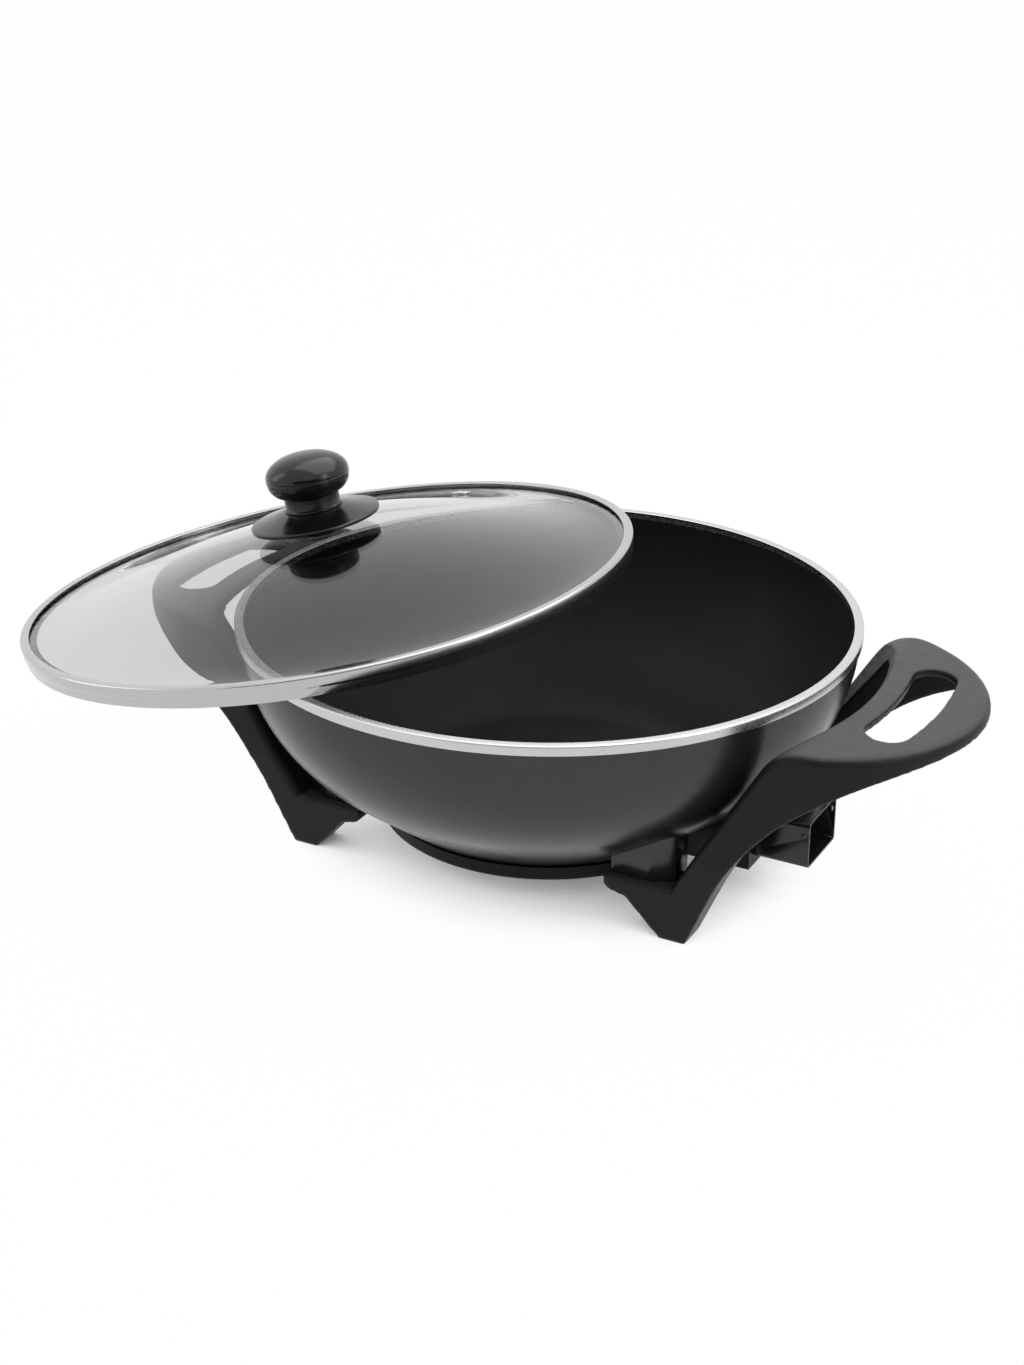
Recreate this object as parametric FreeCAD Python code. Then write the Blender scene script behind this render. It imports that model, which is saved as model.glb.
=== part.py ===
import FreeCAD, Part
import math
import os

from FreeCAD import Placement, Rotation, Vector

# Free-standing electric wok, millimetres. Modelled about the bowl's axis with the table at z = 0
# and the inlet side towards +X, then moved so that the origin is under the middle of the whole part.

# fits
rest_gap = 0.3          # a loose piece above what carries it
side_gap = 0.4          # air beside a piece that doesn't bear there
screw_fit = 0.05        # radial, a screw in its hole
overrun = 10.0          # a cutter passes the solid it cuts by this

# bowl casting
rim_r = 180.0
rim_top_z = 143.4
rim_band_h = 5.6        # bright turned edge
rim_flat = 5.4          # width of the rim's top face
rim_proud = 1.15        # the turned edge stands out of the wall
rim_edge_round = 0.8
side_arc_r = 105.1      # round flank, vertical at the rim
flank_deg = 52.4        # where the flank turns into a cone, below the rim
wall = 3.6
floor_z = 25.5          # underside of the floor
floor_wall = 8.0
heel_r = 26.0           # outer turn from cone to floor
inner_heel_r = 34.0
wall_top_r = rim_r - rim_proud

# heat shield under the floor
shield_out = 6.6        # its side stands this far outside the floor's corner
shield_top_z = 30.0
shield_z = 20.8         # its underside
shield_sheet = 1.2
shield_corner = 3.0
vent_hole_r = 3.0
vent_holes = 8
vent_ring_in = 57.5     # from the shield's edge
stud_r = 9.0

# element and its terminals
ring_in = 37.5          # the element's ring inside the shield's edge
tube_r = 3.3
lead_y = 13.0           # half the pitch of the two terminals
lead_corner_deg = 40.0  # azimuth of the ring's ends
lead_bend_r = 13.0
lead_out = 3.2          # the leads start to climb this far past the shield's edge
terminal_z = 43.0
pin_r = 2.5
pin_neck_r = 2.2        # where it passes through its bead
pin_shoulder = 0.5      # the full size starts this far in front of the bead
pin_reach = 22.0        # out of the terminal block
bead_r = 5.5
bead_h = 3.0
block_out = 5.67        # face of the terminal block outside the flank, at the guard's top
block_y = 24.0
block_top_z = 58.0
block_bottom_z = 21.5
probe_r = 3.6
probe_sheet = 1.0
probe_reach = 5.0

# inlet guard
guard_y = 20.6          # outside, half width
guard_z0 = 29.0
guard_z1 = 57.4
guard_len = 33.7
guard_sheet = 1.2
guard_roof_r = 4.2      # outside, bends beside the roof
guard_fold_r = 2.4      # bends beside the floor
dimple_in = 3.0         # locating studs for the control, inside the mouth
dimple_z = 49.0
dimple_r = 1.7
dimple_h = 1.0

# handles, placed from the rim
leg_y = 83.2            # outside of a foot
arm_y = 89.5            # outside of an arm
leg_taper_z = 56.0
arm_inside_y = 62.0
foot_in = 52.4          # a foot's outer edge inside the rim
foot_len = 15.8
leg_top_z = 32.0        # where the leg's straight back edge ends
leg_deg = 66.4          # slope of that edge from level
arm_back_r = 172.0
arm_back_deg = 38.9     # slope where the two back arcs meet
tip_back_r = 122.0
tip_deg = 4.0
tip_drop = 0.8          # the tip's edge below the ridge
tip_edge_h = 6.65       # height of the tip's edge
grip_rise = 1.8         # top of the grip over its ridge
ridge_out = 70.0        # ridge of the grip outside the rim
arm_front_r = 28.0
arm_front_deg = 59.5
grip_level_out = 13.4   # where the grip's top turns level
plan_r = 95.3           # tip outline
plan_in = 16.0          # its centre inside the rim
plan_blend_r = 26.0
grip_skin = 5.0
grip_gap = 16.5         # air between rim and grip
arm_in = 3.5            # an arm's inner face inside the rim, at arm height
arm_inner_z = 100.0
grip_inner_z = 130.0
slot_gap = 14.5         # plastic between the grip's inner edge and the finger slot
slot_wide = 24.0
slot_half = 50.0        # half length across the grip
edge_round = 5.0
tongue_in = 101.0       # inner end of a leg's tongue inside the rim
tongue_z = 33.0         # its seat under the lug
tongue_nose_z = 24.4
tongue_nose = 3.0
knee_in = 88.2
knee_z = 22.0
grip_inner_r = rim_r + grip_gap
arm_inner_r = rim_r - arm_in
slot_r0 = grip_inner_r + slot_gap
slot_r1 = slot_r0 + slot_wide
foot_x1 = rim_r - foot_in
foot_x0 = foot_x1 - foot_len
tongue_x = rim_r - tongue_in
knee_x = rim_r - knee_in
plan_x = rim_r - plan_in
ridge_x = rim_r + ridge_out
grip_front_x = rim_r + grip_level_out

# lugs cast on the bowl
lug_in = 98.0           # a lug's inner side inside the rim
lug_len = 29.0          # its flat front
lug_y = 82.5
lug_inner_y = 60.0
lug_x0 = rim_r - lug_in
lug_x1 = lug_x0 + lug_len

# handle screws
handle_screw_in = 82.0
handle_screw_y = 71.0
handle_screw_r = 2.0
handle_head_r = 4.0
handle_head_h = 2.4
thread_cover = 2.6      # metal left over the end of the thread in the lug
handle_plate = 6.5      # plastic under the lug that the screw clamps
washer_h = 0.8
washer_r = 4.6
handle_screw_x = rim_r - handle_screw_in

# small screws
screw_r = 1.5
screw_head_r = 3.0
screw_head_h = 2.0
screw_bite = 8.0
guard_screw_y = 15.5
guard_screw_z = 52.0

# lid, in its own frame: level at its lower edge, axis up
lid_over = 6.0          # the lid is this much larger than the rim
band_h = 12.0
band_sheet = 0.9
band_corner = 0.6
skirt_h = 6.0
skirt_step = 1.2        # the skirt stands inside the upper half by this
skirt_wall = 1.4
seat_lip = 10.0         # the lip that sits on the rim
top_lip = 5.5
glass_t = 4.0
glass_air = 0.1         # between the glass's edge and the band
glass_shoulder = 13.0   # from the band to where the dome starts
glass_crown = 37.0      # underside at the centre
glass_power = 1.48
bore_r = 4.0
lid_out = 144.7         # how far the lid is pushed off the bowl's axis
lid_heading_deg = 183.2
lid_r = rim_r + lid_over
band_low_r = lid_r - skirt_step
skirt_inner_r = band_low_r - skirt_wall
seat_lip_r = lid_r - seat_lip
top_lip_r = lid_r - top_lip
glass_edge_r = lid_r - 2 * band_sheet
glass_bevel_r = lid_r - glass_shoulder

# knob
gasket_h = 1.5
gasket_r = 13.0
plate_pedestal_h = 4.1
plate_pedestal_r = 15.0
plate_len = 82.0
plate_wid = 74.0
plate_tip_r = 27.0
plate_deg = 72.0        # its long axis from the lid's low side
plate_edge_h = 2.0      # thickness all round its edge
plate_rise = 5.4       # from there up to the knob
plate_land = 0.6        # its flat top shows round the knob by this
neck_r = 16.5
neck_h = 9.1
collar_h = 2.0
collar_r = 17.4
head_r = 25.0
head_low_h = 11.0       # below the widest line
head_top_h = 13.4
knob_screw_r = 2.5
knob_screw_head_r = 6.5
knob_screw_head_h = 3.2
knob_bite = 12.0

# steam vent
vent_in = 34.0          # from the band
vent_deg = 264.0        # from the lid's low side
vent_bore_r = 3.5
vent_flange_r = 6.5
vent_flange_h = 1.2
vent_wall = 0.8
vent_at_r = lid_r - vent_in

up = Vector(0, 0, 1)


# ---------- helpers ----------
def face(edges):
    return Part.Face(Part.Wire(Part.__sortEdges__(edges)))


def line(a, b):
    return Part.LineSegment(a, b).toShape()


def arc(a, b, c):
    return Part.Arc(a, b, c).toShape()


def xz(x, z):
    return Vector(x, 0, z)


def polygon(points):
    return Part.Face(Part.makePolygon(points + points[:1]))


def turned(points):
    return polygon([xz(r, z) for r, z in points]).revolve(Vector(), up, 360)


def cylinder(r, h, at, along=up):
    return Part.makeCylinder(r, h, at, along)


def tube(r1, r0, h, at, along=up):
    return cylinder(r1, h, at, along).cut(cylinder(r0, h, at, along))


def box(x0, x1, y0, y1, z0, z1):
    return Part.makeBox(x1 - x0, y1 - y0, z1 - z0, Vector(x0, y0, z0))


def mirrorX(shape):
    return shape.mirror(Vector(), Vector(1, 0, 0))


def mirrorY(shape):
    return shape.mirror(Vector(), Vector(0, 1, 0))


def solids(shape):
    return [s for s in shape.Solids]


def group(shapes):
    return Part.Compound([s for shape in shapes for s in solids(shape)])


def polar(r, turn, z=0.0):
    a = math.radians(turn)
    return Vector(r * math.cos(a), r * math.sin(a), z)


def rounded(points, radii):
    """Edges of a line through the points with tangent arcs at its inner points."""
    edges = []
    start = points[0]
    for before, at, after, r in zip(points, points[1:], points[2:], radii):
        u = (before - at).normalize()
        v = (after - at).normalize()
        half = u.getAngle(v) / 2
        a = at + u * (r / math.tan(half))
        b = at + v * (r / math.tan(half))
        middle = (u + v).normalize()
        m = at + middle * (r / math.sin(half) - r)
        edges.append(line(start, a))
        edges.append(arc(a, m, b))
        start = b
    edges.append(line(start, points[-1]))
    return edges


# ---------- lines of the handles' back and front, which the bowl's lugs stand beside ----------
def sweepArc(start, slope, r, end_slope):
    """Arc that starts at a slope and flattens to another: its middle and end."""
    def at(angle):
        a = math.radians(angle)
        b = math.radians(slope)
        return xz(start.x + r * (math.sin(b) - math.sin(a)), start.z + r * (math.cos(a) - math.cos(b)))
    return at((slope + end_slope) / 2), at(end_slope)


back_low = xz(foot_x1, 0)
back_a = xz(foot_x1 + leg_top_z / math.tan(math.radians(leg_deg)), leg_top_z)
back_m, back_b = sweepArc(back_a, leg_deg, arm_back_r, arm_back_deg)
tip_m, tip_low = sweepArc(back_b, arm_back_deg, tip_back_r, tip_deg)
tip_x = plan_x + plan_r
past_x = max(tip_x, tip_low.x) + 1
ridge_z = tip_low.z + tip_edge_h + tip_drop
grip_z = ridge_z + grip_rise
front_turn = math.radians(arm_front_deg)
front_low = xz(grip_front_x - arm_front_r * math.sin(front_turn),
               grip_z - arm_front_r * (1 - math.cos(front_turn)))
seam_x = front_low.x - (front_low.z - tongue_z) / math.tan(front_turn)
lug_side_x = seam_x - side_gap

# ---------- bowl ----------
arc_centre_r = wall_top_r - side_arc_r


def flankPoint(inset, angle):
    """Point of the round flank, so far inside its outer face, at an angle below the rim."""
    a = math.radians(angle)
    r = side_arc_r - inset
    return xz(arc_centre_r + r * math.cos(a), rim_top_z - r * math.sin(a))


def flankRadius(z, inset=0.0):
    """Radius of the outer face at a height, on the round part or on the cone below it."""
    low = flankPoint(inset, flank_deg)
    if z > low.z:
        return arc_centre_r + math.sqrt((side_arc_r - inset) ** 2 - (rim_top_z - z) ** 2)
    return low.x - (low.z - z) * math.tan(math.radians(flank_deg))


def flankHeight(r):
    """Height of the outer face at a radius."""
    low = flankPoint(0, flank_deg)
    if r > low.x:
        return rim_top_z - math.sqrt(side_arc_r ** 2 - (r - arc_centre_r) ** 2)
    return low.z - (low.x - r) / math.tan(math.radians(flank_deg))


shield_r = flankRadius(floor_z) + shield_out
block_x = flankRadius(guard_z1) + block_out
guard_mouth_x = block_x + guard_len
handle_screw_out = math.hypot(handle_screw_x, handle_screw_y)
handle_bite = flankHeight(handle_screw_out - handle_screw_r) - tongue_z - thread_cover


def shieldTopR():
    """Outside of the heat shield's top edge, just clear of the flank."""
    return flankRadius(shield_top_z) + side_gap + shield_sheet * 1.3


def bowlHalf(inset, bottom, heel, top):
    """Edges from the wall's top down to the axis, at an inset from the outer face."""
    first = flankPoint(inset, 0)
    middle = flankPoint(inset, flank_deg / 2)
    low = flankPoint(inset, flank_deg)
    corner = xz(low.x - (low.z - bottom) * math.tan(math.radians(flank_deg)), bottom)
    above = [line(xz(first.x, top), first)] if top > first.z else []
    return above + [arc(first, middle, low)] + rounded([low, corner, xz(0, bottom)], [heel])


def revolveHalf(edges, top):
    start = edges[0].Vertexes[0].Point
    closing = [line(xz(0, edges[-1].Vertexes[-1].Z), xz(0, top)), line(xz(0, top), start)]
    return face(edges + closing).revolve(Vector(), up, 360)


def lug(outer):
    """One mounting lug, up to the flank it is cast on."""
    plan = polygon([
        Vector(lug_x0, lug_inner_y, tongue_z),
        Vector(lug_side_x, lug_inner_y, tongue_z),
        Vector(lug_side_x, lug_y - (lug_side_x - lug_x1), tongue_z),
        Vector(lug_x1, lug_y, tongue_z),
        Vector(lug_x0, lug_y, tongue_z),
    ])
    height = rim_top_z / 2 - tongue_z + wall
    return plan.extrude(up * height).cut(outer)


bowl_outer = revolveHalf(bowlHalf(0, floor_z, heel_r, rim_top_z), rim_top_z)
bowl_inner = revolveHalf(bowlHalf(wall, floor_z + floor_wall, inner_heel_r, rim_top_z + 1), rim_top_z + 1)

rim_ring = tube(rim_r, rim_r - rim_flat, rim_band_h, xz(0, rim_top_z - rim_band_h))
rim_ring = rim_ring.makeFillet(rim_edge_round, [
    e for e in rim_ring.Edges
    if abs(e.BoundBox.ZMin - rim_top_z) < 0.01 and e.BoundBox.ZLength < 0.01
])

block = box(stud_r, block_x, -block_y, block_y, block_bottom_z, block_top_z)
skirt_clear = cylinder(shieldTopR() + side_gap, shield_top_z + side_gap, Vector())
block = block.cut(bowl_outer).cut(skirt_clear)

lug_one = lug(bowl_outer)
lugs = [lug_one, mirrorY(lug_one), mirrorX(lug_one), mirrorX(mirrorY(lug_one))]
stud = cylinder(stud_r, floor_z + floor_wall / 2 - shield_z - shield_sheet, xz(0, shield_z + shield_sheet))

bowl = bowl_outer.cut(bowl_inner).fuse([rim_ring, stud])

# element path: the ring, then two leads that run out and climb to the terminals
ring_z = shield_z + shield_sheet + side_gap + tube_r
ring_r = shield_r - ring_in
ring_end = polar(ring_r, lead_corner_deg, ring_z)
heading = polar(1, lead_corner_deg - 90)
to_lead = (ring_end.y - lead_y) / math.cos(math.radians(lead_corner_deg))
lead_start = ring_end + heading * to_lead
climb_x = shield_r + lead_out
climb_end_x = climb_x + (terminal_z - ring_z)
lead_points = [
    ring_end,
    lead_start,
    Vector(climb_x, lead_y, ring_z),
    Vector(climb_end_x, lead_y, terminal_z),
    Vector(block_x - bead_h, lead_y, terminal_z),
]
lead = rounded(lead_points, [lead_bend_r] * 3)
half_ring = arc(polar(ring_r, 180, ring_z), polar(ring_r, (180 + lead_corner_deg) / 2, ring_z), ring_end)


def rod(edges, r):
    path = Part.Wire(edges)
    start = path.OrderedVertexes[0].Point
    ring = Part.Wire([Part.Circle(start, Vector(0, 1, 0), r).toShape()])
    return path.makePipeShell([ring], True, False)


def element(r):
    half = rod([half_ring] + lead, r)
    return half.fuse(mirrorY(half)).removeSplitter()


heating_element = element(tube_r)
element_way = element(tube_r + screw_fit)
bead_hole = [cylinder(bead_r + screw_fit, bead_h, Vector(block_x - bead_h, s * lead_y, terminal_z),
                      Vector(1, 0, 0)) for s in (-1, 1)]
probe_out_r = probe_r + probe_sheet
probe_depth = block_x - flankRadius(terminal_z + probe_out_r)
probe_hole = cylinder(probe_out_r + screw_fit, probe_depth, Vector(block_x - probe_depth, 0, terminal_z),
                      Vector(1, 0, 0))
bowl = bowl.cut(element_way)
block = block.cut([element_way, probe_hole] + bead_hole)


# ---------- heat shield ----------
def shieldHalf(inset, top_z):
    """Half section of the dished shield: floor, rounded corner, upright side."""
    bottom = shield_z + inset
    lean = math.atan2(shieldTopR() - shield_r, shield_top_z - shield_z)
    slide = inset / math.cos(lean)
    slope = math.tan(lean)
    corner = xz(shield_r - slide + slope * inset, bottom)
    top = xz(shield_r - slide + slope * (top_z - shield_z), top_z)
    r = shield_corner - inset
    return rounded([xz(0, bottom), corner, top], [r])


outer_half = shieldHalf(0, shield_top_z)
inner_half = shieldHalf(shield_sheet, shield_top_z)
outer_end = outer_half[-1].Vertexes[-1].Point
inner_end = inner_half[-1].Vertexes[-1].Point
closing = [line(outer_end, inner_end), line(xz(0, shield_z), xz(0, shield_z + shield_sheet))]
heat_shield = face(outer_half + inner_half + closing).revolve(Vector(), up, 360)
vent_pitch = 360.0 / vent_holes
vents = [cylinder(vent_hole_r, shield_sheet, polar(shield_r - vent_ring_in, vent_pitch * (i + 0.5), shield_z))
         for i in range(vent_holes)]
way_half = tube_r + side_gap
ways = [box(shield_r / 2, shieldTopR() + shield_sheet, s * lead_y - way_half, s * lead_y + way_half,
            shield_z + shield_sheet, shield_top_z + shield_sheet) for s in (-1, 1)]
screw_hole = cylinder(screw_r + screw_fit, shield_sheet, xz(0, shield_z))
heat_shield = heat_shield.cut(vents + ways + [screw_hole])


def screw(head_at, along, r=screw_r, head_r=screw_head_r, head_h=screw_head_h, grip=shield_sheet,
          bite=screw_bite):
    """Pan-head screw: the head's seat is at head_at and the shank runs along."""
    head = cylinder(head_r, head_h, head_at, along * -1)
    rim = [e for e in head.Edges if e.Closed and (e.CenterOfMass - head_at).Length > head_h / 2]
    head = head.makeFillet(head_h * 0.45, rim)
    cross = [box(-head_r * 0.6, head_r * 0.6, -head_r * 0.12, head_r * 0.12, 0, head_h * 0.5)]
    cross.append(box(-head_r * 0.12, head_r * 0.12, -head_r * 0.6, head_r * 0.6, 0, head_h * 0.5))
    turn = Rotation(up, along)
    for bar in cross:
        bar.Placement = Placement(head_at - along * head_h, turn)
    shank = cylinder(r, grip + bite, head_at, along)
    return head.cut(cross).fuse(shank).removeSplitter()


def screwHole(head_at, along, r=screw_r, grip=shield_sheet, bite=screw_bite):
    return cylinder(r + screw_fit, grip + bite, head_at, along)


shield_screw = screw(xz(0, shield_z), up, bite=floor_wall / 2)
bowl = bowl.cut(screwHole(xz(0, shield_z), up, bite=floor_wall / 2))

# ---------- terminals ----------
out = Vector(1, 0, 0)
pin_x = block_x + bead_h + pin_shoulder
pins = []
for s in (-1, 1):
    inner_end = Vector(block_x - bead_h, s * lead_y, terminal_z)
    neck = cylinder(pin_neck_r, pin_x - inner_end.x, inner_end, out)
    pin = cylinder(pin_r, block_x + pin_reach - pin_x, Vector(pin_x, s * lead_y, terminal_z), out)
    tip = [e for e in pin.Edges if e.Closed and e.CenterOfMass.x > pin_x + pin_r]
    pins.append(pin.makeFillet(pin_r * 0.5, tip).fuse(neck).removeSplitter())
bead_hole_r = pin_neck_r + screw_fit
beads = [tube(bead_r, bead_hole_r, bead_h * 2, Vector(block_x - bead_h, s * lead_y, terminal_z), out)
         for s in (-1, 1)]
probe_sleeve = cylinder(probe_out_r, probe_depth + probe_reach,
                        Vector(block_x - probe_depth, 0, terminal_z), out)
probe_sleeve = probe_sleeve.cut(cylinder(probe_r, probe_depth + probe_reach - probe_sheet,
                                         Vector(block_x - probe_depth + probe_sheet, 0, terminal_z), out))

# ---------- inlet guard ----------
def bentBox(inset, x0, x1):
    """Box of the guard with its four long edges bent round, so far inside its outer face."""
    shell = box(x0, x1, -guard_y + inset, guard_y - inset, guard_z0 + inset, guard_z1 - inset)
    for height, r in ((guard_z1 - inset, guard_roof_r), (guard_z0 + inset, guard_fold_r)):
        shell = shell.makeFillet(r - inset, [
            e for e in shell.Edges
            if e.BoundBox.XLength > (x1 - x0) / 2 and abs(e.CenterOfMass.z - height) < side_gap
        ])
    return shell


guard = bentBox(0, block_x, guard_mouth_x)
guard = guard.cut(bentBox(guard_sheet, block_x + guard_sheet, guard_mouth_x + overrun))
guard_holes = [cylinder(bead_r + side_gap, guard_sheet, Vector(block_x, s * lead_y, terminal_z), out)
               for s in (-1, 1)]
guard_holes.append(cylinder(probe_out_r + side_gap, guard_sheet, Vector(block_x, 0, terminal_z), out))
dimple_x = guard_mouth_x - dimple_in
dimple_holes = [cylinder(dimple_r + screw_fit, 2 * guard_y, Vector(dimple_x, -guard_y, dimple_z),
                         Vector(0, 1, 0))]
guard_screws = []
for s in (-1, 1):
    seat = Vector(block_x + guard_sheet, s * guard_screw_y, guard_screw_z)
    guard_screws.append(screw(seat, out * -1, grip=guard_sheet))
    hole = screwHole(seat, out * -1, grip=guard_sheet)
    guard_holes.append(hole)
    block = block.cut(hole)
guard = guard.cut(guard_holes + dimple_holes)
guard_studs = []
for s in (-1, 1):
    inner = s * (guard_y - guard_sheet - dimple_h)
    shank = cylinder(dimple_r, guard_sheet + dimple_h, Vector(dimple_x, inner, dimple_z), Vector(0, s, 0))
    collar = cylinder(dimple_r + side_gap, dimple_h, Vector(dimple_x, inner, dimple_z), Vector(0, s, 0))
    guard_studs.append(shank.fuse(collar).removeSplitter())


# ---------- handles ----------
def topEdges(drop):
    """The handle's top line from the arm's foot to the tip, moved down into the plastic."""
    r = arm_front_r - drop
    start = xz(seam_x + drop / math.sin(front_turn), tongue_z)
    a = xz(grip_front_x - r * math.sin(front_turn), grip_z - drop - r * (1 - math.cos(front_turn)))
    m = xz(grip_front_x - r * math.sin(front_turn / 2), grip_z - drop - r * (1 - math.cos(front_turn / 2)))
    b = xz(grip_front_x, grip_z - drop)
    return [line(start, a), arc(a, m, b)], b


top_line, top_end = topEdges(0)
ridge = xz(ridge_x, ridge_z)
tip_top = xz(past_x, ridge_z - tip_drop)
side_profile = face([
    line(back_low, back_a),
    arc(back_a, back_m, back_b),
    arc(back_b, tip_m, tip_low),
    line(tip_low, xz(past_x, tip_low.z)),
    line(xz(past_x, tip_low.z), tip_top),
    line(tip_top, ridge),
    line(ridge, top_end),
] + top_line + [
    line(xz(seam_x, tongue_z), xz(tongue_x, tongue_z)),
    line(xz(tongue_x, tongue_z), xz(tongue_x, tongue_nose_z + tongue_nose)),
    line(xz(tongue_x, tongue_nose_z + tongue_nose), xz(tongue_x + tongue_nose, tongue_nose_z)),
    line(xz(tongue_x + tongue_nose, tongue_nose_z), xz(knee_x, knee_z)),
    line(xz(knee_x, knee_z), xz(foot_x0, 0)),
    line(xz(foot_x0, 0), back_low),
])


def slab(profile, y0, y1):
    moved = profile.copy()
    moved.translate(Vector(0, y0, 0))
    return moved.extrude(Vector(0, y1 - y0, 0))


def planOutline(inset):
    """Plan of the handle: straight arms that blend into the round tip."""
    half = arm_y - inset
    r = plan_r - inset
    blend = plan_blend_r - inset
    blend_x = plan_x + math.sqrt((r - blend) ** 2 - (half - blend) ** 2)
    away = (Vector(blend_x - plan_x, half - blend, 0)).normalize()
    on_tip = Vector(plan_x, 0, 0) + away * r
    between = (away + Vector(0, 1, 0)).normalize()
    blend_mid = Vector(blend_x, half - blend, 0) + between * blend
    flat_end = Vector(blend_x, half, 0)

    def low(v):
        return Vector(v.x, -v.y, 0)

    edges = [
        line(Vector(0, half, 0), flat_end),
        arc(flat_end, blend_mid, on_tip),
        arc(on_tip, Vector(plan_x + r, 0, 0), low(on_tip)),
        arc(low(on_tip), low(blend_mid), low(flat_end)),
        line(low(flat_end), Vector(0, -half, 0)),
        line(Vector(0, -half, 0), Vector(0, half, 0)),
    ]
    return face(edges)


height = up * (grip_z + overrun)
body = slab(side_profile, -arm_y, arm_y).common(planOutline(0).extrude(height))

# the legs draw in towards the feet
taper = polygon([
    Vector(0, leg_y, 0),
    Vector(0, arm_y, leg_taper_z),
    Vector(0, arm_y + overrun, leg_taper_z),
    Vector(0, arm_y + overrun, -1),
    Vector(0, leg_y - (arm_y - leg_y) / leg_taper_z, -1),
]).extrude(Vector(plan_x + plan_r, 0, 0))
body = body.cut([taper, mirrorY(taper)])


def topHeight(x):
    """Height of the handle's top line."""
    if x >= ridge_x:
        return ridge_z - tip_drop * (x - ridge_x) / (past_x - ridge_x)
    if x >= grip_front_x:
        return grip_z - (grip_z - ridge_z) * (x - grip_front_x) / (ridge_x - grip_front_x)
    if x >= front_low.x:
        return grip_z - arm_front_r + math.sqrt(arm_front_r ** 2 - (grip_front_x - x) ** 2)
    return front_low.z - (front_low.x - x) * math.tan(front_turn)


def onTopRim(edge):
    """An edge between the handle's top and its outer walls."""
    first, last = edge.ParameterRange
    middle = edge.valueAt((first + last) / 2)
    across = abs(edge.Vertexes[0].Y - edge.Vertexes[-1].Y) > arm_y and abs(middle.x - tip_x) > 1
    return abs(middle.z - topHeight(middle.x)) < 0.05 and middle.x > seam_x + 1 and not across


body = body.makeFillet(edge_round, [e for e in body.Edges if onTopRim(e)])

# hollow between the arms and under the grip's skin
hollow_top, hollow_end = topEdges(grip_skin)
tip_wall_x = tip_x + overrun
hollow = face(hollow_top + [
    line(hollow_end, xz(ridge_x, ridge_z - grip_skin)),
    line(xz(ridge_x, ridge_z - grip_skin), xz(tip_wall_x, ridge_z - grip_skin)),
    line(xz(tip_wall_x, ridge_z - grip_skin), xz(tip_wall_x, -1)),
    line(xz(tip_wall_x, -1), xz(0, -1)),
    line(xz(0, -1), xz(0, tongue_z)),
    line(xz(0, tongue_z), hollow_top[0].Vertexes[0].Point),
])
hollow = slab(hollow, -arm_inside_y, arm_inside_y).common(
    planOutline(grip_skin).extrude(height + up).translated(Vector(0, 0, -1)))

# round cut that follows the bowl
lean = (grip_inner_r - arm_inner_r) / (grip_inner_z - arm_inner_z)
cut_z0 = tongue_z
cut_z1 = grip_z + 5
follow_r0 = arm_inner_r + lean * (cut_z0 - arm_inner_z)
follow_r1 = arm_inner_r + lean * (cut_z1 - arm_inner_z)
follow = Part.makeCone(follow_r0, follow_r1, cut_z1 - cut_z0, xz(0, cut_z0))
past_shield = cylinder(shieldTopR() + side_gap, shield_top_z + side_gap, Vector())
past_flank = Part.makeCone(shieldTopR() + side_gap, flankRadius(tongue_z + wall) + 2 * side_gap,
                           tongue_z + wall - shield_top_z, xz(0, shield_top_z))


def bananaSlot(r0, r1, half):
    """Slot concentric with the bowl, with round ends."""
    mid = (r0 + r1) / 2
    end_r = (r1 - r0) / 2
    turn = math.degrees(math.asin((half - end_r) / mid))
    ends = []
    for s in (-1, 1):
        c = polar(mid, s * turn)
        tangent = polar(1, s * (turn + 90))
        ends.append((polar(r0, s * turn), c + tangent * end_r, polar(r1, s * turn)))
    (a0, a1, a2), (b0, b1, b2) = ends
    edges = [arc(a0, a1, a2), arc(a2, polar(r1, 0), b2), arc(b2, b1, b0), arc(b0, polar(r0, 0), a0)]
    return face(edges)


finger_slot = bananaSlot(slot_r0, slot_r1, slot_half).extrude(up * (2 * grip_skin + overrun))
finger_slot.translate(xz(0, ridge_z - 2 * grip_skin))
handle = body.cut([hollow, follow, past_shield, past_flank, finger_slot])

counterbore_z = tongue_z - handle_plate
for s in (-1, 1):
    under = xz(handle_screw_x, 0) + Vector(0, s * handle_screw_y, 0)
    handle = handle.cut([
        cylinder(washer_r + side_gap, counterbore_z, under),
        cylinder(handle_screw_r + screw_fit, tongue_z, under),
    ])

handle_screws = []
handle_washers = []
for s in (-1, 1):
    seat = Vector(handle_screw_x, s * handle_screw_y, counterbore_z)
    handle_washers.append(tube(washer_r, handle_screw_r + screw_fit, washer_h, seat - up * washer_h))
    handle_screws.append(screw(seat - up * washer_h, up, handle_screw_r, handle_head_r, handle_head_h,
                               washer_h + handle_plate, handle_bite))
    lug_holes = [cylinder(handle_screw_r + screw_fit, handle_plate + handle_bite,
                          Vector(side * seat.x, seat.y, seat.z)) for side in (-1, 1)]
    lugs = [one.cut(lug_holes) for one in lugs]


# ---------- lid ----------
def glassUnder(r):
    """Height of the glass's underside over the lid's lower edge."""
    share = max(0.0, 1 - (r / glass_bevel_r) ** 2)
    return skirt_h + (glass_crown - skirt_h) * share ** glass_power


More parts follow.
